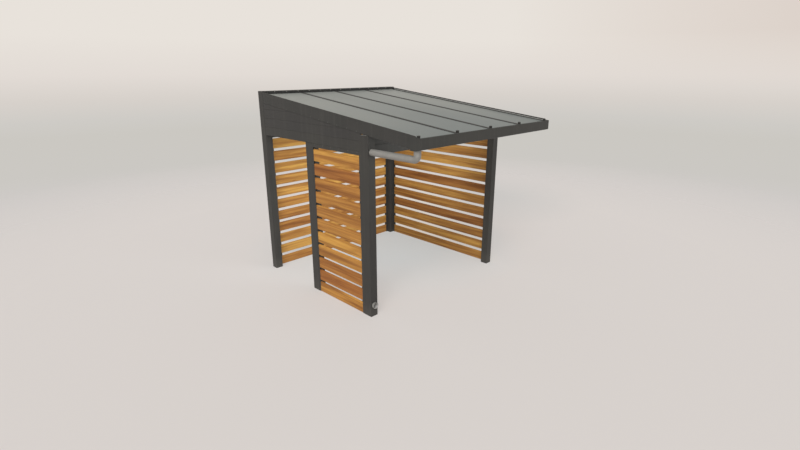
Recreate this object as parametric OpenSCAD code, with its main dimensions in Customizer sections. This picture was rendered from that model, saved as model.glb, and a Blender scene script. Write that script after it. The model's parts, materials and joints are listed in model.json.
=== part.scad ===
// Lean-to carport: five square posts, a glazed mono-pitch roof in four bays, slatted
// timber walls at the back, the right and part of the left, and a doorway beside them.
// Origin: centre of the footprint, on the ground. +X right, +Y to the high side, +Z up.

/* [Overall] */
// Width over the outer faces of the posts
bay_w = 2600; // [2200:50:3000]
// Depth over the outer faces of the front and back posts
wall_depth = 2342; // [2200:10:2600]
// How far the roof runs on ahead of the front posts
roof_overhang = 804; // [600:10:900]

/* [Heights] */
// Underside of the rails over the slatted walls and of the front beam
rail_z = 2037; // [2030:1:2060]
// Underside of the headers, the clear height of the doorway
header_z = 2084; // [2080:1:2100]
// Height of one header, one infill plank and the back beam
plank_h = 122; // [110:1:126]
// Top edge of the roof above the gutter's front lip
eave_h = 2336; // [2320:2:2380]
// Pitch of the roof in degrees
roof_pitch = 6.5; // [6:0.25:7]

/* [Posts] */
// Width of a post
post_w = 110; // [100:5:120]
// Depth of the drain post and the door post, along the side wall
side_post_d = 135; // [120:5:140]
// Wall of a post and of the beams
tube_wall = 3; // [2:0.5:5]

/* [Slatted walls] */
// Number of boards in a wall
board_count = 11; // [9:1:11]
// Height of a board
board_h = 144; // [136:1:145]
// Open gap between two boards
board_gap = 42.5; // [36:0.5:43]
// Thickness of a board
board_t = 19; // [16:1:22]
// How steeply the boards' edges fall outwards, in degrees
board_slope = 30; // [10:5:35]
// How much of a wall's end channel shows beside its post
channel_w = 28; // [24:1:34]
// Length of the left slatted wall between the faces of its two posts
left_wall_len = 961; // [900:10:1000]

/* [Roof] */
// Width of a rafter
rafter_w = 60; // [50:5:70]
// Depth of an edge rafter below the roof's top edge
rafter_d = 150; // [130:1:155]
// Thickness of the glass
glass_t = 8; // [6:1:10]
// Width of a glazing cap
cap_w = 44; // [36:2:52]

/* [Gutter and pipe] */
// Depth of the gutter from front to back
gutter_d = 150; // [130:5:160]
// Height of the gutter's front
gutter_h = 118; // [100:2:124]
// How far the gutter's belly hangs below the lower edge of its front
belly_h = 21; // [12:1:24]
// Outer diameter of the drainpipe
pipe_d = 80; // [70:5:80]

/* [Hidden] */
$fn = 48;

metal = [0.25, 0.25, 0.24];
larch = [0.80, 0.50, 0.20];
pane = [0.62, 0.66, 0.66, 0.6];
grey_plastic = [0.58, 0.58, 0.57];
rubber = [0.10, 0.10, 0.10];

// Overall
slop = 1;                                   // how far a cutting tool runs past the face it cuts
half_w = bay_w / 2;
total_depth = wall_depth + roof_overhang;
y_eave = -total_depth / 2;                  // front of the gutter
y_back = total_depth / 2;                   // back faces of the back posts
y_front = y_eave + roof_overhang;           // front faces of the front posts
y_drain = y_front + side_post_d;            // back face of the drain post
y_door = y_drain + left_wall_len;           // front face of the door post
y_high = y_back - post_w;                   // front faces of the back posts
face_in = 3;                                // how far all between the posts stands back from their faces

// Tubes and beams
inner_r = 1.5;                              // radius inside a tube's corners
corner_r = tube_wall + inner_r;             // radius outside them
foot_t = 8;                                 // thickness of a post's foot plate
beam_t = 60;
beam_h = (rafter_low(y_front) - rail_z) / 2;

// Planks
plank_t = 25;
plank_joint = 0.4;                          // open joint between two planks
plank_bevel = 1.5;                          // chamfer along a plank's outer edges
infill_low = header_z + plank_h;
infill_top = roof_top(y_back) - plank_h;
infill_rows = round((infill_top - infill_low) / plank_h);
row_h = (infill_top - infill_low) / infill_rows;

// Slatted walls
base_lift = 3;                              // height of the lowest board above the ground
board_pitch = board_h + board_gap;
board_end = 12;                             // how deep a board's end sits in its channel
channel_wall = 2;
channel_t = board_t + 2 * channel_wall;
lug_out = 28;                               // how far a spacer lug stands out of its channel
lug_t = 5;                                  // thickness of a lug, at the inner face of the boards
right_wall_len = y_high - y_front - post_w;
back_wall_len = bay_w - 2 * post_w;

// Roof
bay_count = 4;
bay_pitch = (bay_w - rafter_w) / bay_count;
roof_run = 2 * total_depth;                 // longer than any slope
glass_drop = 28;                            // from the roof's top edge down to the glass
seat_drop = glass_drop + glass_t;           // down to the top of the inner rafters
edge_in = 8;                                // from the posts' outer face to the edge of the glazing
edge_gap = 3;                               // between the edge rafter's upstand and the glass
pane_gap = 8;                               // between two panes
cap_t = 6;
cap_shoulder = 5;                           // width of the sloping shoulder along a cap's sides
cap_lip = 4;                                // how far a cap reaches past the glass's lower edge
edge_cap_x = -half_w + edge_in + cap_w / 2;
seal_t = 8;
seal_h = 24;
clamp_t = 4;
clamp_h = 12;
stop_w = 34;
stop_h = 40;
stop_l = 20;

// Gutter
gutter_t = 3;
gutter_drop = 11;                           // from the roof's top edge down to the gutter's front lip
lip_in = 14;                                // width of the lip's top
end_t = 4;                                  // thickness of a gutter end
gutter_back = y_eave + gutter_d;
gutter_low = eave_h - gutter_drop - gutter_h;
belly_low = gutter_low - belly_h;
belly_in = 0.75 * gutter_d;                 // from the front to the belly's lowest line
belly_r = (belly_in * belly_in + belly_h * belly_h) / (2 * belly_h);
glass_front = y_eave + 70;                  // lower edge of the glass, over the gutter
cap_front = glass_front - cap_lip;              // lower end of the glazing caps

// Drainpipe
pipe_r = pipe_d / 2;
pipe_wall = 2;
pipe_x = -half_w + post_w / 2;
pipe_z = 2087;                              // height of the pipe's level run
bend_r = 50;                                // centre-line radius of its elbow
outlet_y = y_eave + 0.6 * gutter_d;         // place of the outlet in the gutter's bottom
spigot_h = 6;                               // how far the pipe stands up inside the gutter
pipe_in = 30;                               // how far a pipe runs on inside the post
stub_z = 150;                               // height of the outlet at the post's foot
stub_out = 30;

// Height of the roof's top edge, and of the rafters' underside, at a place along Y
function roof_top(y) = eave_h + (y - y_eave) * tan(roof_pitch);
function rafter_low(y) = roof_top(y) - rafter_d / cos(roof_pitch);
function rafter_x(i) = -half_w + rafter_w / 2 + i * bay_pitch;

// A box given by its low corner and its high corner
module block(low, high) {
    translate(low) cube(high - low);
}

module mirror_x() {
    mirror([1, 0, 0]) children();
}

// ---- tubes ----
// A rectangle with round corners, from the origin
module round_outline(size, r) {
    translate([r, 0]) square([size[0] - 2 * r, size[1]]);
    translate([0, r]) square([size[0], size[1] - 2 * r]);
    for (x = [r, size[0] - r], y = [r, size[1] - r]) translate([x, y]) circle(r);
}
module bore_outline(size) {
    translate([tube_wall, tube_wall])
        round_outline([size[0] - 2 * tube_wall, size[1] - 2 * tube_wall], inner_r);
}
module tube_outline(size) {
    difference() {
        round_outline(size, corner_r);
        bore_outline(size);
    }
}
// A tube along X or Y between two corners, open at both ends
module tube_x(low, high) {
    translate(low) rotate([90, 0, 90]) linear_extrude(high[0] - low[0])
        tube_outline([high[1] - low[1], high[2] - low[2]]);
}
module tube_y(low, high) {
    translate([low[0], high[1], low[2]]) rotate([90, 0, 0]) linear_extrude(high[1] - low[1])
        tube_outline([high[0] - low[0], high[2] - low[2]]);
}
// A post: a tube with a welded foot plate and a closed top
module post(low, high) {
    size = [high[0] - low[0], high[1] - low[1]];
    translate(low) difference() {
        linear_extrude(high[2] - low[2]) round_outline(size, corner_r);
        translate([0, 0, foot_t]) linear_extrude(high[2] - low[2] - foot_t - tube_wall) bore_outline(size);
    }
}

// ---- posts ----
module post_back_left() {
    color(metal) post([-half_w, y_high, 0], [-half_w + post_w, y_back, roof_top(y_back)]);
}
module post_back_right() {
    mirror_x() post_back_left();
}
module post_front_right() {
    color(metal) post([half_w - post_w, y_front, 0], [half_w, y_front + post_w, rafter_low(y_front)]);
}
// The drain post, with a hole high up for the pipe and one near the foot for the outlet
module post_front_left() {
    color(metal) difference() {
        post([-half_w, y_front, 0], [-half_w + post_w, y_drain, rafter_low(y_front)]);
        for (z = [pipe_z, stub_z]) {
            translate([pipe_x, y_front - slop, z]) rotate([-90, 0, 0])
                cylinder(r = pipe_r, h = tube_wall + 2 * slop);
        }
    }
}
module post_door() {
    color(metal) post([-half_w, y_door, 0], [-half_w + post_w, y_door + side_post_d, header_z]);
}

// ---- headers, rails and beams ----
// A tube above a side wall, drawn on the left, and one above the back wall
module side_tube(y0, y1, low, high) {
    color(metal) tube_y([-half_w + face_in, y0, low], [-half_w + post_w, y1, high]);
}
module back_tube(low, high) {
    color(metal) tube_x([-half_w + post_w, y_high, low], [half_w - post_w, y_back - face_in, high]);
}
module header_left() { side_tube(y_drain, y_high, header_z, header_z + plank_h); }
module header_right() { mirror_x() side_tube(y_front + post_w, y_high, header_z, header_z + plank_h); }
module header_back() { back_tube(header_z, header_z + plank_h); }
module rail_left() { side_tube(y_drain, y_door, rail_z, header_z); }
module rail_right() { mirror_x() side_tube(y_front + post_w, y_high, rail_z, header_z); }
module rail_back() { back_tube(rail_z, header_z); }
module back_beam() { back_tube(infill_top, infill_top + plank_h); }
module front_beam(level) {
    y = y_front + (side_post_d - beam_t) / 2;
    z = rail_z + level * beam_h;
    color(metal) tube_x([-half_w + post_w, y, z], [half_w - post_w, y + beam_t, z + beam_h]);
}
module front_beam_lower() { front_beam(0); }
module front_beam_upper() { front_beam(1); }

// ---- infill planks ----
// One plank's section, across its thickness and height, with its outer edges chamfered
module plank_section() {
    low = plank_joint / 2;
    high = row_h - plank_joint / 2;
    polygon([[plank_bevel, low], [plank_t, low], [plank_t, high], [plank_bevel, high],
             [0, high - plank_bevel], [0, low + plank_bevel]]);
}
// Everything beside the left wall that lies below the rafter's underside
module under_rafter(y0) {
    translate([-half_w, 0, 0]) rotate([90, 0, 90]) linear_extrude(face_in + plank_t + slop)
        polygon([[y0, 0], [y_high, 0], [y_high, rafter_low(y_high)], [y0, rafter_low(y0)]]);
}
// The planks between a front post and the back post, cut to the slope of the roof
module side_planks(y0) {
    intersection() {
        for (i = [0:infill_rows - 1]) {
            translate([-half_w + face_in, y_high, infill_low + i * row_h]) rotate([90, 0, 0])
                linear_extrude(y_high - y0) plank_section();
        }
        under_rafter(y0);
    }
}
module planks_left() { color(metal) side_planks(y_drain); }
module planks_right() { color(metal) mirror_x() side_planks(y_front + post_w); }
module planks_back() {
    color(metal) for (i = [0:infill_rows - 1]) {
        translate([half_w - post_w, y_back - face_in, infill_low + i * row_h]) rotate([90, 0, -90])
            linear_extrude(back_wall_len) plank_section();
    }
}

// ---- slatted walls ----
// A wall is drawn along +X from 0 to its length with its outer face at y = 0 and the
// inside at +Y, then set in place between two posts. The boards are rhombic: their upper
// and lower edges fall outwards and shed the rain, and the lowest is cut level above the
// ground.
function edge_drop(y) = (channel_wall + board_t - y) * tan(board_slope);

// A strip between two places along X and two depths. Its edges fall outwards, and low
// and high are their heights at the boards' inner face.
module strip(x0, x1, y0, y1, low, high) {
    translate([x0, 0, 0]) rotate([90, 0, 90]) linear_extrude(x1 - x0)
        polygon([[y0, max(base_lift, low - edge_drop(y0))], [y1, max(base_lift, low - edge_drop(y1))],
                 [y1, high - edge_drop(y1)], [y0, high - edge_drop(y0)]]);
}
// A U-shaped end channel with a lug in each gap that keeps the boards apart
module channel() {
    inside = channel_wall + board_t;
    difference() {
        block([0, 0, 0], [channel_w, channel_t, rail_z]);
        block([channel_wall, channel_wall, -slop], [channel_w + slop, inside, rail_z + slop]);
    }
    block([channel_wall, channel_wall, 0], [channel_w, inside, base_lift]);
    for (i = [1:board_count - 1]) {
        high = base_lift + i * board_pitch;
        strip(channel_wall, channel_w + lug_out, inside - lug_t, inside, high - board_gap, high);
    }
}
module wall_channels(len) {
    channel();
    translate([len, 0, 0]) mirror([1, 0, 0]) channel();
}
module wall_boards(len) {
    end = channel_w - board_end;
    for (i = [0:board_count - 1]) {
        low = base_lift + i * board_pitch;
        strip(end, len - end, channel_wall, channel_wall + board_t, low, low + board_h);
    }
}
// Places for the three walls
module at_left() { translate([-half_w + face_in, y_door, 0]) rotate([0, 0, -90]) children(); }
module at_right() { translate([half_w - face_in, y_front + post_w, 0]) rotate([0, 0, 90]) children(); }
module at_back() { translate([half_w - post_w, y_back - face_in, 0]) rotate([0, 0, 180]) children(); }

module channels_left() { color(metal) at_left() wall_channels(left_wall_len); }
module channels_right() { color(metal) at_right() wall_channels(right_wall_len); }
module channels_back() { color(metal) at_back() wall_channels(back_wall_len); }
module slats_left() { color(larch) at_left() wall_boards(left_wall_len); }
module slats_right() { color(larch) at_right() wall_boards(right_wall_len); }
module slats_back() { color(larch) at_back() wall_boards(back_wall_len); }

// ---- roof ----
// Children are drawn with X across, Y up the slope and Z square to the roof, from the
// top edge over the gutter's front, and trimmed between two upright planes.
module on_roof(y0, y1) {
    intersection() {
        translate([0, y_eave, eave_h]) rotate([roof_pitch, 0, 0]) children();
        block([-bay_w, y0, 0], [bay_w, y1, 2 * eave_h]);
    }
}
// A section drawn across the slope, run along it
module slope_bar(x) {
    translate([x, roof_run, 0]) rotate([90, 0, 0]) linear_extrude(roof_run + total_depth / 2) children();
}
module slope_box(x0, x1, z0, z1) {
    slope_bar(x0) translate([0, z0]) square([x1 - x0, z1 - z0]);
}
// An inner rafter's tube, and an edge rafter's with the upstand that covers the glass's edge
module rafter_section(upstand) {
    size = [rafter_w, rafter_d - seat_drop];
    difference() {
        union() {
            translate([0, -rafter_d]) round_outline(size, corner_r);
            if (upstand > 0) translate([0, -seat_drop - corner_r]) square([upstand, seat_drop + corner_r]);
        }
        translate([0, -rafter_d]) bore_outline(size);
    }
}
module edge_rafter() {
    color(metal) on_roof(gutter_back, y_high) slope_bar(-half_w + face_in) rafter_section(edge_in - face_in);
}
module inner_rafter(i) {
    color(metal) on_roof(gutter_back, y_high) slope_bar(rafter_x(i) - rafter_w / 2) rafter_section(0);
}
module rafter_left() { edge_rafter(); }
module rafter_right() { mirror_x() edge_rafter(); }
module rafter_2() { inner_rafter(1); }
module rafter_3() { inner_rafter(2); }
module rafter_4() { inner_rafter(3); }

// A glazing cap: a flat strip with sloping shoulders, around the line x
module glazing_cap(x) {
    color(metal) on_roof(cap_front, y_high - seal_t) slope_bar(x - cap_w / 2)
        translate([0, -glass_drop]) polygon([[0, 0], [cap_w, 0], [cap_w, cap_t / 2],
            [cap_w - cap_shoulder, cap_t], [cap_shoulder, cap_t], [0, cap_t / 2]]);
}
module cap_left() { glazing_cap(edge_cap_x); }
module cap_right() { mirror_x() glazing_cap(edge_cap_x); }
module cap_2() { glazing_cap(rafter_x(1)); }
module cap_3() { glazing_cap(rafter_x(2)); }
module cap_4() { glazing_cap(rafter_x(3)); }

module glass(i) {
    edge_x = half_w - edge_in - edge_gap;
    x0 = i == 0 ? -edge_x : rafter_x(i) + pane_gap / 2;
    x1 = i == bay_count - 1 ? edge_x : rafter_x(i + 1) - pane_gap / 2;
    color(pane) on_roof(glass_front, y_high) slope_box(x0, x1, -seat_drop, -glass_drop);
}
module glass_1() { glass(0); }
module glass_2() { glass(1); }
module glass_3() { glass(2); }
module glass_4() { glass(3); }

// A rubber seal between the glass and the back beam, and the rail that clamps it
module wall_seal() {
    color(rubber) on_roof(y_high - seal_t, y_high)
        slope_box(-half_w + post_w, half_w - post_w, -glass_drop, -glass_drop + seal_h);
}
module clamp_rail() {
    low = roof_top(y_high) - glass_drop + seal_h;
    color(metal) block([-half_w + post_w, y_high - clamp_t, low],
                       [half_w - post_w, y_high, low + clamp_h]);
}

// Blocks at the low end of each cap, which keep the glass from sliding
module glass_stops() {
    color(metal) for (i = [0:bay_count]) {
        x = i == 0 ? edge_cap_x : i == bay_count ? -edge_cap_x : rafter_x(i);
        on_roof(cap_front - stop_l, cap_front)
            slope_box(x - stop_w / 2, x + stop_w / 2, -seat_drop, -seat_drop + stop_h);
    }
}

// ---- gutter and pipe ----
// Sections are drawn from the side, front at the left. The belly is an arc that starts at
// the lower edge of the front.
module above_belly(inset) {
    translate([y_eave + belly_in, belly_low + belly_r]) circle(belly_r - inset, $fn = 240);
}
module gutter_outline(inset, top) {
    intersection() {
        above_belly(inset);
        translate([y_eave + inset, belly_low]) square([gutter_d - 2 * inset, top - belly_low]);
    }
}
module gutter_section() {
    back_top = roof_top(gutter_back) - seat_drop / cos(roof_pitch);
    front_top = gutter_low + gutter_h;
    difference() {
        gutter_outline(0, back_top);
        gutter_outline(gutter_t, back_top + slop);
    }
    translate([y_eave, back_top - slop]) square([gutter_t, front_top - back_top + slop]);
    translate([y_eave, front_top - gutter_t]) square([lip_in, gutter_t]);
}
module gutter() {
    color(metal) difference() {
        translate([-half_w + end_t, 0, 0]) rotate([90, 0, 90])
            linear_extrude(bay_w - 2 * end_t) gutter_section();
        translate([pipe_x, outlet_y, belly_low - slop]) cylinder(r = pipe_r, h = belly_h);
    }
}
module gutter_end() {
    translate([-half_w, 0, 0]) rotate([90, 0, 90]) linear_extrude(end_t) intersection() {
        above_belly(0);
        polygon([[y_eave, belly_low], [gutter_back, belly_low], [gutter_back, roof_top(gutter_back)],
                 [cap_front, roof_top(cap_front)], [cap_front, roof_top(cap_front) - gutter_drop],
                 [y_eave, eave_h - gutter_drop]]);
    }
}
module gutter_ends() {
    color(metal) {
        gutter_end();
        mirror_x() gutter_end();
    }
}

module pipe_run(r, extra) {
    y_bend = outlet_y + bend_r;
    z_bend = pipe_z + bend_r;
    translate([pipe_x, y_bend, pipe_z]) rotate([-90, 0, 0])
        cylinder(r = r, h = y_front + pipe_in - y_bend + extra);
    translate([pipe_x, y_bend, z_bend]) rotate([0, -90, 0]) rotate([0, 0, 180])
        rotate_extrude(angle = 90) translate([bend_r, 0]) circle(r);
    translate([pipe_x, outlet_y, z_bend])
        cylinder(r = r, h = belly_low + gutter_t + spigot_h - z_bend + extra);
}
module drainpipe() {
    color(grey_plastic) difference() {
        pipe_run(pipe_r, 0);
        pipe_run(pipe_r - pipe_wall, slop);
    }
}
module outlet_stub() {
    color(grey_plastic) translate([pipe_x, y_front - stub_out, stub_z]) rotate([-90, 0, 0])
        difference() {
            cylinder(r = pipe_r, h = stub_out + pipe_in);
            translate([0, 0, -slop])
                cylinder(r = pipe_r - pipe_wall, h = stub_out + pipe_in + 2 * slop);
        }
}

post_back_left();
post_back_right();
post_front_left();
post_front_right();
post_door();
header_left();
header_right();
header_back();
rail_left();
rail_right();
rail_back();
front_beam_lower();
front_beam_upper();
back_beam();
planks_left();
planks_right();
planks_back();
channels_left();
channels_right();
channels_back();
slats_left();
slats_right();
slats_back();
rafter_left();
rafter_2();
rafter_3();
rafter_4();
rafter_right();
cap_left();
cap_2();
cap_3();
cap_4();
cap_right();
glass_1();
glass_2();
glass_3();
glass_4();
clamp_rail();
wall_seal();
glass_stops();
gutter();
gutter_ends();
drainpipe();
outlet_stub();
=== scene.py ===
import json
import math

import bpy
from mathutils import Matrix, Vector


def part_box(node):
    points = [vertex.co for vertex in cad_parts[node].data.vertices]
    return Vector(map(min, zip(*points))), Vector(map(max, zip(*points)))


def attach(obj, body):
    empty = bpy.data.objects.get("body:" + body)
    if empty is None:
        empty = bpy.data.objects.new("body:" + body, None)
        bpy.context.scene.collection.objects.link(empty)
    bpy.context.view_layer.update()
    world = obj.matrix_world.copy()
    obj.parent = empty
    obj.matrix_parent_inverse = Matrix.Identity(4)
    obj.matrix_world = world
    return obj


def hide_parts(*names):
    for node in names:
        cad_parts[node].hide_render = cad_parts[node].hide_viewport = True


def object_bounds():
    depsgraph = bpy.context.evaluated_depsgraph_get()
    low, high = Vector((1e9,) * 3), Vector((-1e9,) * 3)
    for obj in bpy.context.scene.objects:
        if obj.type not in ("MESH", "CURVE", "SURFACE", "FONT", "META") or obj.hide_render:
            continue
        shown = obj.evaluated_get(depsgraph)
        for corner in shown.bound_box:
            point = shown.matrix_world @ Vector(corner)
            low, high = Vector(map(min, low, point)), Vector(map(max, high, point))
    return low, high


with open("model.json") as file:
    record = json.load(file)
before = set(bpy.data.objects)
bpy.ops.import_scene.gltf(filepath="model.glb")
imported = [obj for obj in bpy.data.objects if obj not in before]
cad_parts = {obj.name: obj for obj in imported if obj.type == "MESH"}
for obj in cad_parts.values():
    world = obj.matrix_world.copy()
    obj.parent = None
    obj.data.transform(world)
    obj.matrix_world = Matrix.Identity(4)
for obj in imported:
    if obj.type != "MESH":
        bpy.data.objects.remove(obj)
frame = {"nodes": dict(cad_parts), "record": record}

# Looks for the lean-to carport. Metres, +X right, +Y to the high side, +Z up.
CAD_LOW, CAD_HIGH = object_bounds()
NODES = frame["nodes"]

SAME = 1e-5               # places nearer to each other than this are one
LONG = 0.1                # an edge longer than this runs along a board or a strip
PANE_END = 0.01           # the corners at an end of a pane lie within this of it
BOARD_EDGE = 0.002        # rounding along the edges of a larch board
BOARD_END = 0.0015        # rounding round its ends
SCREW_R = 0.0055          # radius of a pan-head screw
SCREW_H = 0.0026          # height of its head
SCREW_SIDES = 14
SCREW_ROUND, SOCKET_DEEP = 0.45, 0.5  # rounding of the head and depth of its socket, as shares of its height
SOCKET_RIM, SOCKET_SLOPE = 0.28, 0.06  # rim round the socket and slope of its wall, as shares of the radius
SCREW_STEP = 0.18         # spacing of the screws along the edge rafters and rails
SCREW_INSET = 0.06        # from a row's end screws to the ends of what it holds
SCREW_UP = 0.016          # the rafters' row, above the rafter's underside
SCREW_DOWN = 0.012        # the rails' row, below the rail's top
CLAMP_STEP = 0.2          # spacing along the clamp rail at the high side
CLAMP_INSET = 0.09        # from its end screws to its ends
CLAMP_DOWN = 0.0065       # its row, below its top
LIP_W = 0.008             # width of the rubber lip beside a glazing cap
LIP_H, LIP_ROUND = 0.003, 0.0024  # its height and the rounding of its outer edge
LIP_FREE = (0.004, 0.006)  # how much shorter than the cap it is, at its foot and at its head
LIP_MARGIN = 0.04         # no lip nearer than this to a side of the carport
BEAD_W = 0.005            # width of the grey bead outside an edge cap
BEAD_H, BEAD_ROUND = 0.010, 0.0035  # its height and the rounding of its inner edge
BEAD_FREE = 0.01          # how much shorter than the cap it is, at each end
BEAD_UP = 0.0032          # its foot, above the cap's own lower edge
CAP_THICK, CAP_ROUND = 0.0025, 0.001  # cap on a front post, and the rounding of its rim
CAP_INSET = 0.001         # from its sides to the post's
CAP_CLEAR = 0.004         # room at its front, under the slope
BEND_R = 0.044            # centre-line radius of the bend inside the drain post
BEND_WALL = 0.002
BEND_SIDES, BEND_STEPS = 32, 10


# ---- modelling helpers ----
def deselect():
    """Nothing selected, in object mode."""
    if bpy.context.object and bpy.context.object.mode != "OBJECT":
        bpy.ops.object.mode_set(mode="OBJECT")
    bpy.ops.object.select_all(action="DESELECT")


def settle(piece):
    """Puts a new object's place, turn and scale into its mesh."""
    deselect()
    piece.select_set(True)
    bpy.context.view_layer.objects.active = piece
    bpy.ops.object.transform_apply(location=True, rotation=True, scale=True)


def start_box(name, low, high):
    """A box between two corners, ready to be shaped."""
    deselect()
    low, high = Vector(low), Vector(high)
    bpy.ops.mesh.primitive_cube_add(size=1, location=(low + high) / 2)
    piece = bpy.context.object
    piece.name = piece.data.name = name
    piece.scale = high - low
    settle(piece)
    return piece


def start_disc(name, radius, height, sides):
    """An upright cylinder on the origin, ready to be shaped."""
    deselect()
    bpy.ops.mesh.primitive_cylinder_add(vertices=sides, radius=radius, depth=height,
                                        location=(0, 0, height / 2))
    piece = bpy.context.object
    piece.name = piece.data.name = name
    settle(piece)
    return piece


def unpick(piece, kind):
    """Makes a piece the active one, picked from by its edges or its faces, with none picked yet."""
    bpy.context.view_layer.objects.active = piece
    bpy.ops.object.mode_set(mode="EDIT")
    bpy.ops.mesh.select_mode(type=kind)
    bpy.ops.mesh.select_all(action="DESELECT")
    bpy.ops.object.mode_set(mode="OBJECT")


def pick_edges(piece, wanted):
    """Goes into edit mode with the edges selected whose two ends pass the test."""
    unpick(piece, "EDGE")
    points = piece.data.vertices
    for edge in piece.data.edges:
        a, b = (points[i].co for i in edge.vertices)
        edge.select = wanted(a, b)
    bpy.ops.object.mode_set(mode="EDIT")


def pick_faces(piece, wanted):
    """Goes into edit mode with the faces selected whose centre and normal pass the test."""
    unpick(piece, "FACE")
    for face in piece.data.polygons:
        face.select = wanted(face.center, face.normal)
    bpy.ops.object.mode_set(mode="EDIT")


def leave_edit():
    """Back to object mode, with the edit kept."""
    bpy.ops.object.mode_set(mode="OBJECT")


def smooth(piece, angle=35):
    """Smooth shading, with edges sharper than the angle kept."""
    deselect()
    piece.select_set(True)
    bpy.context.view_layer.objects.active = piece
    bpy.ops.object.shade_smooth_by_angle(angle=math.radians(angle))


def copy_to(piece, name, move):
    """A copy with its own mesh, moved by a matrix or a vector."""
    twin = bpy.data.objects.new(name, piece.data.copy())
    bpy.context.scene.collection.objects.link(twin)
    twin.data.transform(move if isinstance(move, Matrix) else Matrix.Translation(move))
    return twin


def join(name, parts):
    """One piece from several."""
    deselect()
    for part in parts:
        part.select_set(True)
    bpy.context.view_layer.objects.active = parts[0]
    bpy.ops.object.join()
    whole = bpy.context.object
    whole.name = whole.data.name = name
    return whole


def dress(piece, material):
    """Gives a piece its finish and its place on the one body."""
    piece.data.materials.clear()
    piece.data.materials.append(material)
    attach(piece, "root")


# ---- material helpers ----
def plain(name, colour, rough):
    """A new material, with the constants on its shader's own sockets."""
    material = bpy.data.materials.new(name)
    material.use_nodes = True
    shader = material.node_tree.nodes["Principled BSDF"]
    shader.inputs["Base Color"].default_value = (*colour, 1)
    shader.inputs["Roughness"].default_value = rough
    return material, material.node_tree, shader


def add(tree, kind, options=None, **sockets):
    """A node with its options and its inputs, each a value or a link. An input goes by its name, or by
    its number after an i."""
    made = tree.nodes.new("ShaderNode" + kind)
    for key, value in (options or {}).items():
        setattr(made, key, value)
    for key, value in sockets.items():
        numbered = key[0] == "i" and key[1:].isdigit()
        target = made.inputs[int(key[1:]) if numbered else key.replace("_", " ")]
        if isinstance(value, bpy.types.NodeSocket):
            tree.links.new(value, target)
        else:
            target.default_value = value
    return made


def maths(tree, operation, a, b=0.0, c=0.0):
    """The result of one sum, product or the like."""
    return add(tree, "Math", {"operation": operation}, i0=a, i1=b, i2=c).outputs[0]


def mix(tree, share, a, b, blend="MIX"):
    """Two colours mixed by a share from 0 to 1."""
    return add(tree, "Mix", {"data_type": "RGBA", "blend_type": blend}, i0=share, i6=a, i7=b).outputs[2]


def spread(tree, value, low, high, to_low=0.0, to_high=1.0):
    """A value from one range carried to another, held at its ends."""
    return add(tree, "MapRange", None, Value=value, From_Min=low, From_Max=high,
               To_Min=to_low, To_Max=to_high).outputs[0]


def noise(tree, vector, scale, detail=3.0, rough=0.5, twist=0.0):
    """Soft clouds of values from 0 to 1."""
    return add(tree, "TexNoise", None, Vector=vector, Scale=scale, Detail=detail,
               Roughness=rough, Distortion=twist).outputs["Fac"]


def place(tree, scale=(1, 1, 1)):
    """Object coordinates, stretched by a scale along each axis."""
    here = add(tree, "TexCoord").outputs["Object"]
    return add(tree, "Mapping", None, Vector=here, Scale=scale).outputs[0]


def position(tree):
    """X, Y and the height above the ground."""
    return add(tree, "SeparateXYZ", None, Vector=add(tree, "TexCoord").outputs["Object"]).outputs


def bump(tree, shader, value, strength, distance):
    """Fine relief on a finish."""
    made = add(tree, "Bump", None, Strength=strength, Distance=distance, Height=value)
    tree.links.new(made.outputs[0], shader.inputs["Normal"])


def tone(*colour):
    """A colour as a socket takes it."""
    return (*colour, 1.0)


def paint(*colour):
    """A colour written in everyday 0 to 255 values."""
    return tone(*((c / 255 + 0.055) ** 2.4 / 1.055 ** 2.4 for c in colour))


def gradient(tree, value, low, high, stops):
    """Colours along a value, from pairs of a place and a colour: the lowest and the highest first."""
    made = add(tree, "ValToRGB", None, Fac=spread(tree, value, low, high))
    steps = made.color_ramp.elements
    for i, (spot, colour) in enumerate(stops):
        spot = (spot - low) / (high - low)
        step = steps[i] if i < 2 else steps.new(spot)
        step.position, step.color = spot, colour
    return made.outputs[0]


def by_board(tree, number, shades):
    """The shade of the board with this number, counted from the lowest."""
    spot = maths(tree, "DIVIDE", maths(tree, "ADD", number, 0.5), len(shades))
    made = add(tree, "ValToRGB", None, Fac=spot)
    made.color_ramp.interpolation = "CONSTANT"
    steps = made.color_ramp.elements
    steps[1].color = tone(*[shades[-1]] * 3)
    for i, shade in enumerate(shades):
        step = steps[0] if i == 0 else steps.new(i / len(shades))
        step.color = tone(shade, shade, shade)
    return made.outputs[0]


def looked_at(tree):
    """1 where the camera, a reflection or clear glass looks, 0 for plain light."""
    path = add(tree, "LightPath").outputs
    return maths(tree, "MAXIMUM", path["Is Camera Ray"],
                 maths(tree, "MAXIMUM", path["Is Glossy Ray"], path["Is Transmission Ray"]))


def cover(tree, kind, surface):
    """Puts a surface on the output of a material or a world."""
    out = next(n for n in tree.nodes if n.type == "OUTPUT_" + kind)
    tree.links.new(surface.outputs[0], out.inputs["Surface"])


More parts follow.
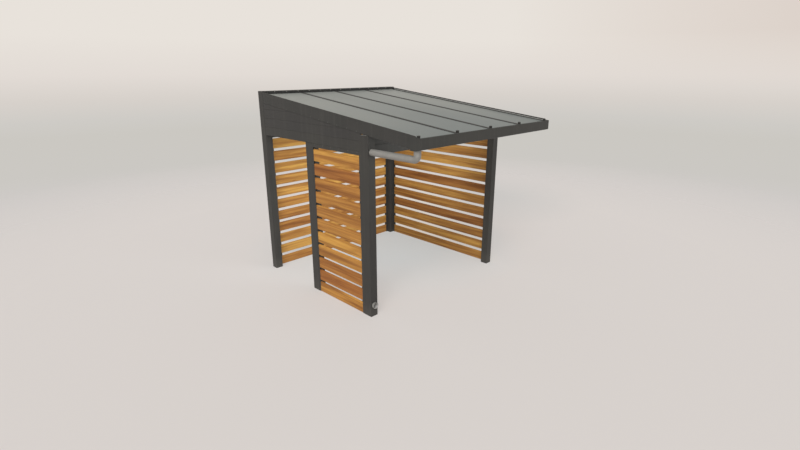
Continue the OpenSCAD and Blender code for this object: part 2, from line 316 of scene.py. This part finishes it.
# ---- materials ----
RAIN_MARK, DUST = paint(78, 76, 73), paint(110, 106, 99)
DUST_TOP = 0.2            # splashed dust on the coat fades out at this height
LARCH = ((0.3, paint(138, 88, 43)), (0.7, paint(208, 154, 80)),
         (0.42, paint(166, 112, 55)), (0.55, paint(192, 137, 70)))
LARCH_RING, LARCH_VEIN = paint(206, 156, 88), paint(122, 72, 36)
LARCH_GRAIN, LARCH_KNOT = paint(122, 78, 40), paint(84, 50, 28)
BROWNEST, GOLDEST = tone(0.65, 0.47, 0.46), tone(1.18, 1.23, 1.06)  # what a board's shade does to its wood
GRAIN_SEED = 4.7          # sets the grain of one wall apart from the next
PIPE_DARK, PIPE_LIGHT = tone(0.228, 0.221, 0.206), tone(0.26, 0.25, 0.231)
WATER_MARK = tone(0.2, 0.195, 0.185)
GLASS_DEEP, GLASS_PALE = paint(102, 110, 109), paint(140, 142, 137)
GLASS_TINT = (0.60, 0.63, 0.63)  # share of the daylight that the glass lets through
PAINTED_REFLECTION_RISE = (2.28, 2.55)  # heights between which a painted reflection makes the glass paler up the slope
SIDE_RISE = (2.3, 2.42)   # heights between which the side panes grow paler than the middle ones
PAINTED_BORE_LIGHT = (0.43, 0.42, 0.405)  # painted light inside the outlet's bore, paler than the pipe
BORE_LIGHT_EDGE = 0.0006        # how sharply that painted light ends at the bore's wall


def powder_coat(name, dark, light):
    """Anthracite powder coat: a fine grain, soft clouding, faint rain streaks and dust near the ground."""
    material, tree, shader = plain(name, light[:3], 0.5)
    shader.inputs["Specular IOR Level"].default_value = 0.3
    clouds = noise(tree, place(tree), 2.2, 4.0)
    streaks = noise(tree, place(tree, (26, 26, 1.1)), 1.0, 3.0)
    coat = mix(tree, spread(tree, clouds, 0.35, 0.65), dark, light)
    coat = mix(tree, spread(tree, streaks, 0.52, 0.75, 0.0, 0.25), coat, RAIN_MARK)
    dust = noise(tree, place(tree), 9.0, 5.0, 0.6)
    near_ground = spread(tree, position(tree)[2], 0.0, DUST_TOP, 0.35, 0.0)
    coat = mix(tree, maths(tree, "MULTIPLY", near_ground, dust), coat, DUST)
    tree.links.new(coat, shader.inputs["Base Color"])
    grain = noise(tree, place(tree), 420.0, 2.0)
    rough = maths(tree, "ADD", clouds, maths(tree, "MULTIPLY", grain, 0.3))
    tree.links.new(spread(tree, rough, 0.3, 1.0, 0.46, 0.64), shader.inputs["Roughness"])
    bump(tree, shader, grain, 0.12, 0.0004)
    return material


def larch(name, along, seed, base, pitch, painted_light_tint, shades):
    """Oiled larch boards: every board has its own tone, with long dark streaks, fine grain and rare knots."""
    material, tree, shader = plain(name, paint(170, 120, 66)[:3], 0.55)
    shader.inputs["Specular IOR Level"].default_value = 0.3
    here = position(tree)
    length, thick, up = here[along], here[1 - along], here[2]
    number = maths(tree, "FLOOR", maths(tree, "DIVIDE", maths(tree, "SUBTRACT", up, base), pitch))
    own = add(tree, "TexWhiteNoise", {"noise_dimensions": "2D"},
              Vector=add(tree, "CombineXYZ", None, X=number, Y=seed).outputs[0])
    shift = add(tree, "VectorMath", {"operation": "SCALE"}, i0=own.outputs["Color"], Scale=37.0).outputs[0]

    def grain_place(x, y, z):
        """The place in the wood, scaled along, through and up the board, and shifted from board to board."""
        flat = add(tree, "CombineXYZ", None, X=maths(tree, "MULTIPLY", length, x),
                   Y=maths(tree, "MULTIPLY", thick, y), Z=maths(tree, "MULTIPLY", up, z)).outputs[0]
        return add(tree, "VectorMath", {"operation": "ADD"}, i0=flat, i1=shift).outputs[0]

    broad = noise(tree, grain_place(0.9, 8, 17), 1.0, 2.0, 0.45, 0.7)
    veins = noise(tree, grain_place(0.75, 10, 30), 1.0, 2.0, 0.5, 1.0)
    fine = noise(tree, grain_place(5, 160, 170), 1.0, 3.0, 0.6, 0.4)
    rings = add(tree, "TexWave", {"wave_type": "BANDS", "bands_direction": "Z", "wave_profile": "SAW"},
                Vector=grain_place(0.55, 12, 26), Scale=1.0, Distortion=5.5, Detail=2.0,
                Detail_Scale=0.8, Detail_Roughness=0.5).outputs["Fac"]
    wood = gradient(tree, broad, 0.0, 1.0, LARCH)
    wood = mix(tree, spread(tree, rings, 0.0, 1.0, 0.0, 0.22), wood, LARCH_RING)
    wood = mix(tree, spread(tree, veins, 0.53, 0.7, 0.0, 0.5), wood, LARCH_VEIN)
    wood = mix(tree, spread(tree, fine, 0.35, 0.7, 0.0, 0.3), wood, LARCH_GRAIN)
    knots = add(tree, "TexVoronoi", None, Vector=grain_place(1.5, 4, 7), Scale=1.0).outputs["Distance"]
    wood = mix(tree, spread(tree, knots, 0.03, 0.085, 0.7, 0.0), wood, LARCH_KNOT)
    own_tone = mix(tree, by_board(tree, number, shades), BROWNEST, GOLDEST)
    # Each wall's tint paints its light and shade into the wood: warmer on the left, darker and cooler on the
    # right, paler and cooler at the back.
    own_tone = mix(tree, 1.0, own_tone, painted_light_tint, "MULTIPLY")
    wood = mix(tree, 1.0, wood, own_tone, "MULTIPLY")
    tree.links.new(wood, shader.inputs["Base Color"])
    tree.links.new(spread(tree, fine, 0.3, 0.7, 0.5, 0.68), shader.inputs["Roughness"])
    relief = maths(tree, "ADD", maths(tree, "MULTIPLY", fine, 0.7), maths(tree, "MULTIPLY", rings, 0.3))
    bump(tree, shader, relief, 0.25, 0.0008)
    return material


def tinted_glass():
    """Smooth blue-grey glass under a faint film of dust and dried rain, with daylight coming through. A
    painted reflection makes it paler up the slope.
    """
    material, tree, shader = plain("grey_glass", paint(118, 124, 121)[:3], 0.3)
    shader.inputs["Specular IOR Level"].default_value = 0.05
    film = noise(tree, place(tree), 1.1, 4.0, 0.55)
    runs = noise(tree, place(tree, (26, 1.1, 1)), 1.0, 3.0, 0.5)
    both = maths(tree, "ADD", maths(tree, "MULTIPLY", film, 0.7), maths(tree, "MULTIPLY", runs, 0.3))
    across, _, up = position(tree)
    side_pane = spread(tree, maths(tree, "ABSOLUTE", across), 0.3, 1.0, -0.12, 0.14)
    side_pane = maths(tree, "MULTIPLY", side_pane, spread(tree, up, *SIDE_RISE))
    # Painted reflection: the glass grows paler up the slope.
    paler = maths(tree, "ADD", side_pane, spread(tree, up, *PAINTED_REFLECTION_RISE, 0.0, 0.65))
    share = maths(tree, "ADD", paler, spread(tree, both, 0.35, 0.65, 0.0, 0.35))
    colour = mix(tree, share, GLASS_DEEP, GLASS_PALE)
    tree.links.new(colour, shader.inputs["Base Color"])
    tree.links.new(spread(tree, both, 0.3, 0.7, 0.28, 0.42), shader.inputs["Roughness"])
    clear = add(tree, "BsdfTransparent", None, Color=tone(*GLASS_TINT))
    path = add(tree, "LightPath").outputs
    lit_through = maths(tree, "MAXIMUM", path["Is Shadow Ray"], path["Is Diffuse Ray"])
    cover(tree, "MATERIAL",
          add(tree, "MixShader", None, i0=lit_through, i1=shader.outputs[0], i2=clear.outputs[0]))
    return material


def rubber(name, dark, light):
    """Soft matt seal material with a cloudy bloom on its skin."""
    material, tree, shader = plain(name, dark[:3], 0.7)
    bloom = noise(tree, place(tree), 30.0, 4.0)
    colour = mix(tree, spread(tree, bloom, 0.4, 0.7), dark, light)
    tree.links.new(colour, shader.inputs["Base Color"])
    tree.links.new(spread(tree, bloom, 0.3, 0.7, 0.62, 0.8), shader.inputs["Roughness"])
    bump(tree, shader, noise(tree, place(tree), 600.0), 0.1, 0.0003)
    return material


def grey_plastic(name, bore=None):
    """Mid grey pipe plastic, slightly mottled, with water marks. The middle and the radius of a bore
    along Y give that bore a paler inside, painted light where it would lie in shade."""
    material, tree, shader = plain(name, (0.244, 0.236, 0.219), 0.42)
    mottle = noise(tree, place(tree), 14.0, 5.0, 0.6)
    runs = noise(tree, place(tree, (40, 40, 2)), 1.0, 3.0)
    colour = mix(tree, spread(tree, mottle, 0.35, 0.65), PIPE_DARK, PIPE_LIGHT)
    colour = mix(tree, spread(tree, runs, 0.55, 0.75, 0.0, 0.4), colour, WATER_MARK)
    if bore:
        middle, radius = bore
        # Painted light: inside the bore the plastic is paler, where it would lie in shade.
        bore_light = mix(tree, mottle, tone(*PAINTED_BORE_LIGHT), tone(*(c * 1.08 for c in PAINTED_BORE_LIGHT)))
        here = add(tree, "TexCoord").outputs["Object"]
        here = add(tree, "VectorMath", {"operation": "SUBTRACT"}, i0=here, i1=middle).outputs[0]
        here = add(tree, "VectorMath", {"operation": "MULTIPLY"}, i0=here, i1=(1, 0, 1)).outputs[0]
        away = add(tree, "VectorMath", {"operation": "LENGTH"}, i0=here).outputs["Value"]
        colour = mix(tree, spread(tree, away, radius, radius + BORE_LIGHT_EDGE, 1.0, 0.0), colour, bore_light)
    tree.links.new(colour, shader.inputs["Base Color"])
    tree.links.new(spread(tree, mottle, 0.3, 0.7, 0.36, 0.52), shader.inputs["Roughness"])
    bump(tree, shader, noise(tree, place(tree), 260.0), 0.06, 0.0004)
    return material


def screw_metal(name, dark, light, bare):
    """A screw's finish, bare steel or steel under a thin coat, slightly worn."""
    material, tree, shader = plain(name, light[:3], 0.35)
    shader.inputs["Metallic"].default_value = bare
    wear = noise(tree, place(tree), 240.0, 3.0)
    tree.links.new(mix(tree, wear, dark, light), shader.inputs["Base Color"])
    tree.links.new(spread(tree, wear, 0.3, 0.7, 0.25, 0.45), shader.inputs["Roughness"])
    bump(tree, shader, wear, 0.1, 0.0002)
    return material


# ---- larch boards ----
# The walls, which way their boards run, a tint of painted light and shade for each wall (a little warmer
# on the left, darker and cooler on the right, paler and cooler at the back), and the shade of each board
# from the lowest up: 0 is brown, 1 is golden.
WALLS = (("left", 1, (0.965, 0.99, 0.91), (0.6, 0.1, 0.25, 0.6, 0.9, 0.5, 0.5, 0.55, 0.4, 0.15, 0.65)),
         ("right", 1, (0.84, 0.92, 0.99), (0.6, 0.85, 0.6, 0.2, 0.4, 0.55, 0.2, 0.6, 0.7, 0.5, 0.5)),
         ("back", 0, (1.0, 1.11, 1.2), (0.35, 0.7, 0.5, 0.25, 0.35, 0.45, 0.7, 0.6, 0.75, 0.4, 0.75)))


def board_corners(node, across):
    """Heights of the boards' corners on the inner and on the outer face of a wall."""
    points = [v.co for v in NODES[node].data.vertices]
    middle = sum(abs(p[across]) for p in points) / len(points)
    inner = sorted({round(p.z, 4) for p in points if abs(p[across]) < middle})
    outer = sorted({round(p.z, 4) for p in points if abs(p[across]) > middle})
    return inner, outer


def start_board(node, across, bottom, top, fall, level_foot):
    """A board with eased edges, its upper and lower edges falling towards the weather side."""
    low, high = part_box(node)
    out = 1 if low[across] > 0 else -1
    along = 1 - across
    board = start_box("board", (low.x, low.y, bottom), (high.x, high.y, top))
    inner = min(abs(low[across]), abs(high[across]))
    pick_edges(board, lambda a, b: abs(a[across] - b[across]) < SAME and out * a[across] > inner + SAME
               and abs(a[along] - b[along]) > LONG and (not level_foot or a.z > bottom + SAME))
    bpy.ops.transform.translate(value=(0, 0, -fall))
    leave_edit()
    pick_edges(board, lambda a, b: abs(a[along] - b[along]) > LONG)
    bpy.ops.mesh.bevel(offset=BOARD_EDGE, segments=3, affect="EDGES")
    leave_edit()
    pick_edges(board, lambda a, b: abs(a[along] - b[along]) < SAME
               and min(abs(a[along] - low[along]), abs(a[along] - high[along])) < SAME)
    bpy.ops.mesh.bevel(offset=BOARD_END, segments=1, affect="EDGES")
    leave_edit()
    return board


def board_wall(node, name, along):
    """A wall's boards: the lowest stands level on its edge, the others are copies of one. Also the
    height halfway through the gap under the lowest, and the boards' pitch."""
    inner, outer = board_corners(node, 1 - along)
    bottoms, tops = inner[0::2], inner[1::2]
    fall = tops[0] - outer[1]
    lowest = start_board(node, 1 - along, bottoms[0], tops[0], fall, True)
    board = start_board(node, 1 - along, bottoms[1], tops[1], fall, False)
    copies = [copy_to(board, name, (0, 0, level - bottoms[1])) for level in bottoms[2:]]
    whole = join(name, [lowest, board] + copies)
    smooth(whole)
    pitch = bottoms[1] - bottoms[0]
    gap = pitch - (tops[0] - bottoms[0]) - fall
    return whole, bottoms[0] - fall - gap / 2, pitch


def make_boards():
    """The larch boards of the three walls, in place of the plain ones."""
    for seed, (side, along, painted_light_tint, shades) in enumerate(WALLS, 1):
        node = "slats_" + side
        wall, base, pitch = board_wall(node, "larch_boards_" + side, along)
        wood = larch("larch_" + side, along, seed * GRAIN_SEED, base, pitch, tone(*painted_light_tint), shades)
        dress(wall, wood)
        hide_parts(node)


# ---- screws ----
def make_screw():
    """A pan-head screw with a socket in its head, on the origin, facing +Z."""
    screw = start_disc("screw", SCREW_R, SCREW_H, SCREW_SIDES)
    pick_edges(screw, lambda a, b: min(a.z, b.z) > SCREW_H - SAME)
    bpy.ops.mesh.bevel(offset=SCREW_H * SCREW_ROUND, segments=2, affect="EDGES")
    leave_edit()
    pick_faces(screw, lambda centre, normal: normal.z > 0.99 and centre.z > SCREW_H - SAME)
    bpy.ops.mesh.inset(thickness=SCREW_R * SOCKET_RIM)
    bpy.ops.mesh.inset(thickness=SCREW_R * SOCKET_SLOPE)
    bpy.ops.transform.translate(value=(0, 0, -SCREW_H * SOCKET_DEEP))
    leave_edit()
    smooth(screw, 30)
    return screw


def screw_row(screw, name, spots, facing):
    """Screws at the given spots, all facing one way."""
    turn = Vector((0, 0, 1)).rotation_difference(Vector(facing)).to_matrix().to_4x4()
    made = [copy_to(screw, name, Matrix.Translation(spot) @ turn) for spot in spots]
    return join(name, made)


def spaced(start, end, step):
    """Even places from start to end, about a step apart."""
    count = max(1, round((end - start) / step))
    return [start + (end - start) * i / count for i in range(count + 1)]


def roof_slope():
    """Height gained by the glass for each metre along Y."""
    low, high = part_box("glass_2")
    points = [v.co for v in NODES["glass_2"].data.vertices]
    near = max(p.z for p in points if p.y < low.y + PANE_END)
    far = max(p.z for p in points if p.y > high.y - PANE_END)
    return (far - near) / (high.y - low.y)


def make_screws(painted, steel):
    """Painted screws along the edge rafters and the rails, and bare ones along the clamp rail."""
    screw = make_screw()
    slope = roof_slope()
    for i, side in enumerate(("left", "right")):  # a box's low corner is on the left, its high on the right
        out = (2 * i - 1, 0, 0)
        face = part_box("planks_" + side)
        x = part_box("rafter_" + side)[i].x
        under = min(v.co.z - v.co.y * slope for v in NODES["rafter_" + side].data.vertices)
        ys = spaced(face[0].y + SCREW_INSET, face[1].y - SCREW_INSET, SCREW_STEP)
        spots = [(x, y, under + SCREW_UP + y * slope) for y in ys]
        dress(screw_row(screw, "rafter_screws_" + side, spots, out), painted)
        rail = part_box("rail_" + side)
        ys = spaced(rail[0].y + SCREW_INSET, rail[1].y - SCREW_INSET, SCREW_STEP)
        spots = [(rail[i].x, y, rail[1].z - SCREW_DOWN) for y in ys]
        dress(screw_row(screw, "rail_screws_" + side, spots, out), painted)
    low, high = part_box("clamp_rail")
    xs = spaced(low.x + CLAMP_INSET, high.x - CLAMP_INSET, CLAMP_STEP)
    spots = [(x, low.y, high.z - CLAMP_DOWN) for x in xs]
    dress(screw_row(screw, "clamp_screws", spots, (0, -1, 0)), steel)
    bpy.data.objects.remove(screw)


# ---- strips beside the glazing caps ----
def roof_strip(name, start, side, width, height, length, rounding):
    """A strip up the roof's slope, to one side of its start along X, its far upper edge rounded."""
    strip = start_box(name, (min(0, side * width), 0, 0), (max(0, side * width), length, height))
    pick_edges(strip, lambda a, b: abs(a.y - b.y) > LONG and a.z > height / 2 and abs(a.x) > width / 2)
    bpy.ops.mesh.bevel(offset=rounding, segments=3, affect="EDGES")
    leave_edit()
    turn = Matrix.Rotation(math.atan(roof_slope()), 4, "X")
    strip.data.transform(Matrix.Translation(start) @ turn)
    return strip


def up_slope(length):
    """The length up the slope of a stretch of so much along Y."""
    return length / math.cos(math.atan(roof_slope()))


def make_gaskets(black):
    """A black rubber lip on the glass along both sides of each cap, but not outside the edge caps."""
    slope = roof_slope()
    glass_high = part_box("glass_2")[1]
    lips = []
    for name in ("cap_left", "cap_2", "cap_3", "cap_4", "cap_right"):
        low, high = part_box(name)
        foot = low.y + LIP_FREE[0]
        run = up_slope(high.y - low.y - sum(LIP_FREE))
        for x, side in ((low.x, -1), (high.x, 1)):
            if abs(x) <= CAD_HIGH.x - LIP_MARGIN:
                start = Vector((x, foot, glass_high.z + (foot - glass_high.y) * slope))
                lips.append(roof_strip("lip", start, side, LIP_W, LIP_H, run, LIP_ROUND))
    whole = join("glazing_gaskets", lips)
    smooth(whole)
    dress(whole, black)


def make_edge_beads(grey):
    """A grey sealing bead in the joint between each edge cap and the upstand outside it."""
    beads = []
    for name, inward in (("cap_left", 1), ("cap_right", -1)):
        low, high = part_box(name)
        outer = low.x if inward > 0 else high.x
        start = Vector((outer, low.y + BEAD_FREE, low.z + BEAD_FREE * roof_slope() + BEAD_UP))
        run = up_slope(high.y - low.y - 2 * BEAD_FREE)
        beads.append(roof_strip("bead", start, inward, BEAD_W, BEAD_H, run, BEAD_ROUND))
    whole = join("edge_beads", beads)
    smooth(whole)
    # Painted light: the beads' pale grey lightens the band along each edge cap, which would otherwise lie in
    # shade.
    dress(whole, grey)


# ---- post caps and drain bend ----
def make_post_caps(grey):
    """A thin grey cap on each front post, seen in the wedge under the edge rafter."""
    slope = roof_slope()
    caps = []
    for post in ("post_front_left", "post_front_right"):
        low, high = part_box(post)
        front = low.y + CAP_THICK / slope + CAP_CLEAR
        cap = start_box("cap", (low.x + CAP_INSET, front, high.z),
                        (high.x - CAP_INSET, high.y - CAP_INSET, high.z + CAP_THICK))
        pick_edges(cap, lambda a, b: min(a.z, b.z) > high.z + CAP_THICK / 2)
        bpy.ops.mesh.bevel(offset=CAP_ROUND, segments=2, affect="EDGES")
        leave_edit()
        caps.append(cap)
    whole = join("post_caps", caps)
    smooth(whole)
    # The caps are real pieces; their pale grey is a painted reflection of the sky in the wedge.
    dress(whole, grey)


def make_outlet_bend(bore_lit):
    """The pipe bend inside the drain post that leads down to the outlet near its foot."""
    low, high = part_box("outlet_stub")
    middle = (low + high) / 2
    radius = (high.x - low.x) / 2 - BEND_WALL / 2
    deselect()
    bpy.ops.mesh.primitive_circle_add(vertices=BEND_SIDES, radius=radius, rotation=(math.pi / 2, 0, 0),
                                      location=(middle.x, high.y, middle.z))
    bend = bpy.context.object
    bend.name = bend.data.name = "outlet_bend"
    settle(bend)
    bpy.ops.object.mode_set(mode="EDIT")
    bpy.ops.mesh.select_all(action="SELECT")
    bpy.ops.mesh.spin(steps=BEND_STEPS, angle=-math.pi / 2, center=(middle.x, high.y, middle.z + BEND_R),
                      axis=(1, 0, 0))
    bpy.ops.mesh.select_all(action="SELECT")
    bpy.ops.mesh.remove_doubles(threshold=SAME)
    bpy.ops.mesh.normals_make_consistent(inside=False)
    leave_edit()
    shell = bend.modifiers.new("wall", "SOLIDIFY")
    shell.thickness = BEND_WALL
    shell.offset = 0
    bpy.ops.object.modifier_apply(modifier="wall")
    smooth(bend)
    # The part of the bend in line with the bore takes the same painted light.
    dress(bend, bore_lit)


# ---- finishes on the carried-over nodes ----
COATS = {"frame_metal": ("frame_coat", paint(54, 53, 51), paint(59, 58, 55)),
         "plank_metal": ("plank_coat", paint(53, 52, 51), paint(58, 57, 55)),
         "roof_metal": ("roof_coat", paint(52, 52, 50), paint(58, 57, 55)),
         "gutter_metal": ("gutter_coat", paint(54, 54, 52), paint(60, 60, 57))}
CAP_COAT = ("cap_coat", paint(44, 44, 43), paint(49, 49, 47))


def finish_nodes():
    """Finishes for all nodes but the slats, which are replaced. Hands on those that new pieces share."""
    finishes = {slot: powder_coat(*coat) for slot, coat in COATS.items()}
    cap_coat = powder_coat(*CAP_COAT)
    black = rubber("black_rubber", tone(0.014, 0.014, 0.014), tone(0.03, 0.03, 0.029))
    grey = grey_plastic("pipe_plastic")
    finishes.update(roof_glass=tinted_glass(), seal_rubber=black, pipe_grey=grey)
    for part in frame["record"]["subparts"]:
        material = cap_coat if part["node"].startswith("cap_") else finishes.get(part["material_slot"])
        if material is None:
            continue
        mesh = NODES[part["node"]].data
        mesh.materials.clear()
        mesh.materials.append(material)
    # The outlet stub's bore gets painted light inside it.
    low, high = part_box("outlet_stub")
    bore_lit = grey_plastic("bore_lit_pipe", (tuple((low + high) / 2), (high.x - low.x) / 2 - BEND_WALL))
    NODES["outlet_stub"].data.materials[0] = bore_lit
    return black, grey, bore_lit


# ---- studio ----
FLOOR_R, FLOOR_SIDES = 40, 96
FLOOR_DROP = 0.0005       # the floor lies a hair under the feet
FLOOR_TONE = paint(218, 212, 208)
# Round patches of shade: the middle, the radius up to which the shade is full, where it ends, its tone.
FLOOR_SHADES = (((0.8, 1.2, 0.0), 1.0, 2.5, paint(208, 209, 208)),
                ((4.8, 1.8, 0.0), 0.4, 2.4, paint(208, 205, 202)))
FLOOR_PAINTED_LIGHT = paint(230, 222, 213)  # painted light: a lighter tone beyond the walls, behind their slots, where the carport's shadow falls
PAST_RIGHT, PAST_BACK = (1.25, 1.35), (1.52, 1.62)  # where it starts, in X and in Y
BEHIND_SIDE = (0.8, 2.4)  # how far to the side of the line where X is Y it fades out
BEHIND_FAR = (3.5, 7.0)   # and how far away
FLOOR_FADE = (5.5, 11.0)  # distances between which the floor fades into the backdrop
FLOOR_KEEP = 0.6          # how much of the floor's own tone stays in its shadows
WORLD_LIGHT = 0.55
# The backdrop's tones, by how far up one looks: the lowest and the highest first, then those between.
BACKDROP_LOW, BACKDROP_HIGH = -0.32, 0.06
BACKDROP = ((-0.30, paint(214, 208, 205)), (0.052, paint(232, 226, 219)), (-0.205, paint(206, 202, 199)),
            (-0.17, paint(203, 200, 195)), (-0.11, paint(203, 200, 194)), (-0.085, paint(206, 203, 198)),
            (-0.05, paint(215, 209, 203)), (-0.01, paint(226, 219, 213)))
BACKDROP_RIGHT = paint(219, 208, 200)  # the upper backdrop is deeper far to the right
RIGHT_GROWS, RIGHT_FOOT = (0.3, 0.95), -0.03  # where that grows in to the right, and from how far up
# Suns: the way each shines, its width in degrees, power and colour.
SUNS = (("high", (0.6, 0.45, -0.72), 24, 1.25, (1.0, 0.985, 0.965)),
        ("key", (1.0, 0.38, -0.52), 24, 0.64, (1.0, 0.99, 0.97)),
        ("front", (0.45, 1.0, -0.25), 50, 0.48, (0.97, 0.985, 1.0)))
PANEL_TINT = (0.93, 0.975, 1.0)
PANEL_MARGIN = 0.1        # how much shorter than its bay a light panel is, at each end
BACK_PANEL_TALL, BACK_PANEL_DOWN = 0.6, 0.7  # its height, and how far it hangs below the front beam
EAVE_PANEL_TALL, EAVE_PANEL_OUT, EAVE_PANEL_UP = 0.12, 0.62, 0.06  # its height, its place from the beam
SENSOR, LENS = 36.0, 21.608  # width of the camera's sensor and focal length, in millimetres
EYE = (-4.8905, -4.8585, 2.9936)
EYE_DOWN, EYE_TURN = 0.31426, 0.78726  # radians below level, and from +Y towards +X


def make_floor():
    """A wide pale floor that keeps the carport's shadow and fades into the backdrop far away."""
    deselect()
    bpy.ops.mesh.primitive_circle_add(vertices=FLOOR_SIDES, radius=FLOOR_R, fill_type="NGON",
                                      location=(0, 0, -FLOOR_DROP))
    floor = bpy.context.object
    floor.name = "studio_floor"
    material, tree, shader = plain("pale_floor", FLOOR_TONE[:3], 0.95)
    shader.inputs["Specular IOR Level"].default_value = 0.0
    here = add(tree, "TexCoord").outputs["Object"]
    colour = FLOOR_TONE
    for middle, full, end, shade in FLOOR_SHADES:
        away = add(tree, "VectorMath", {"operation": "DISTANCE"}, i0=here, i1=middle).outputs["Value"]
        colour = mix(tree, spread(tree, away, full, end), shade, colour)
    far = add(tree, "VectorMath", {"operation": "LENGTH"}, i0=here).outputs["Value"]
    x, y, _ = position(tree)
    # Painted light on the floor beyond the walls, where the carport's shadow falls, seen through their slots.
    lit_behind = maths(tree, "MAXIMUM", spread(tree, x, *PAST_RIGHT), spread(tree, y, *PAST_BACK))
    aside = maths(tree, "ABSOLUTE", maths(tree, "SUBTRACT", y, x))
    lit_behind = maths(tree, "MULTIPLY", lit_behind, spread(tree, aside, *BEHIND_SIDE, 1.0, 0.0))
    lit_behind = maths(tree, "MULTIPLY", lit_behind, spread(tree, far, *BEHIND_FAR, 1.0, 0.0))
    colour = mix(tree, lit_behind, colour, FLOOR_PAINTED_LIGHT)
    tree.links.new(colour, shader.inputs["Base Color"])
    looked = looked_at(tree)
    flat = add(tree, "Emission", None, Color=colour, Strength=1.0)
    kept = add(tree, "MixShader", None, i0=maths(tree, "MULTIPLY", looked, FLOOR_KEEP),
               i1=shader.outputs[0], i2=flat.outputs[0])
    fade = maths(tree, "MULTIPLY", spread(tree, far, *FLOOR_FADE), looked)
    clear = add(tree, "BsdfTransparent", None, Color=tone(1, 1, 1))
    cover(tree, "MATERIAL", add(tree, "MixShader", None, i0=fade, i1=kept.outputs[0], i2=clear.outputs[0]))
    floor.data.materials.append(material)


def make_world():
    """Even light all round, and a pale backdrop where the camera or a reflection looks at it."""
    world = bpy.data.worlds.new("studio")
    bpy.context.scene.world = world
    world.use_nodes = True
    tree = world.node_tree
    light = tree.nodes["Background"]
    light.inputs["Color"].default_value = tone(1.0, 0.995, 0.99)
    light.inputs["Strength"].default_value = WORLD_LIGHT
    towards = add(tree, "SeparateXYZ", None, Vector=add(tree, "TexCoord").outputs["Generated"]).outputs
    colour = gradient(tree, towards[2], BACKDROP_LOW, BACKDROP_HIGH, BACKDROP)
    right = spread(tree, maths(tree, "SUBTRACT", towards[0], towards[1]), *RIGHT_GROWS)
    right = maths(tree, "MULTIPLY", right, spread(tree, towards[2], RIGHT_FOOT, BACKDROP_HIGH))
    colour = mix(tree, right, colour, BACKDROP_RIGHT)
    seen = add(tree, "Background", None, Color=colour, Strength=1.0)
    cover(tree, "WORLD",
          add(tree, "MixShader", None, i0=looked_at(tree), i1=light.outputs[0], i2=seen.outputs[0]))


def add_lamp(name, kind, towards, power, colour):
    """A soft light that shines one way."""
    lamp = bpy.data.lights.new(name, kind)
    lamp.energy = power
    lamp.color = colour
    holder = bpy.data.objects.new(name, lamp)
    bpy.context.scene.collection.objects.link(holder)
    holder.rotation_euler = Vector(towards).to_track_quat("-Z", "Y").to_euler()
    return lamp, holder


def make_suns():
    """Three broad suns from the left and the front."""
    for name, towards, width, power, colour in SUNS:
        lamp, _ = add_lamp(name, "SUN", towards, power, colour)
        lamp.angle = math.radians(width)


def make_panels():
    """Hidden light panels: the daylight under the glass, and what reaches the back wall and the eave."""
    low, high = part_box("front_beam_upper")
    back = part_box("back_beam")[0].y
    wide, deep = high.x - low.x - 2 * PANEL_MARGIN, back - high.y - 2 * PANEL_MARGIN
    # Each panel: the way it shines, its size, its place, its power and its fan in degrees.
    for name, towards, size, spot, power, fan in (
            ("under_roof", (0, 0, -1), (wide, deep),
             (0, (back + high.y) / 2, low.z), 12, 180),
            ("to_back_wall", (0, 1, 0.12), (wide / 2, BACK_PANEL_TALL),
             (0, low.y, low.z - BACK_PANEL_DOWN), 18, 140),
            ("under_eave", (0, 1, 0.05), (wide, EAVE_PANEL_TALL),
             (0, low.y - EAVE_PANEL_OUT, low.z + EAVE_PANEL_UP), 10, 180)):
        lamp, holder = add_lamp(name, "AREA", towards, power, PANEL_TINT)
        lamp.shape = "RECTANGLE"
        lamp.size, lamp.size_y = size
        lamp.spread = math.radians(fan)
        holder.location = spot
        holder.visible_camera = holder.visible_glossy = False


def make_camera():
    """The camera, off the front left corner and a little above the roof."""
    eye = bpy.data.cameras.new("camera")
    eye.sensor_width = SENSOR
    eye.lens = LENS
    holder = bpy.data.objects.new("camera", eye)
    bpy.context.scene.collection.objects.link(holder)
    holder.location = EYE
    holder.rotation_euler = (math.pi / 2 - EYE_DOWN, 0.0, -EYE_TURN)
    bpy.context.scene.camera = holder


black_rubber, pipe_grey, bore_lit_pipe = finish_nodes()
make_boards()
make_screws(screw_metal("painted_screws", paint(66, 66, 64), paint(96, 95, 92), 0.0),
            screw_metal("screw_steel", paint(186, 186, 183), paint(218, 218, 215), 1.0))
make_gaskets(black_rubber)
make_edge_beads(rubber("grey_silicone", paint(146, 146, 142), paint(160, 160, 155)))
make_post_caps(pipe_grey)
make_outlet_bend(bore_lit_pipe)
make_floor()
make_world()
make_suns()
make_panels()
make_camera()
bpy.context.scene.view_settings.view_transform = "Standard"
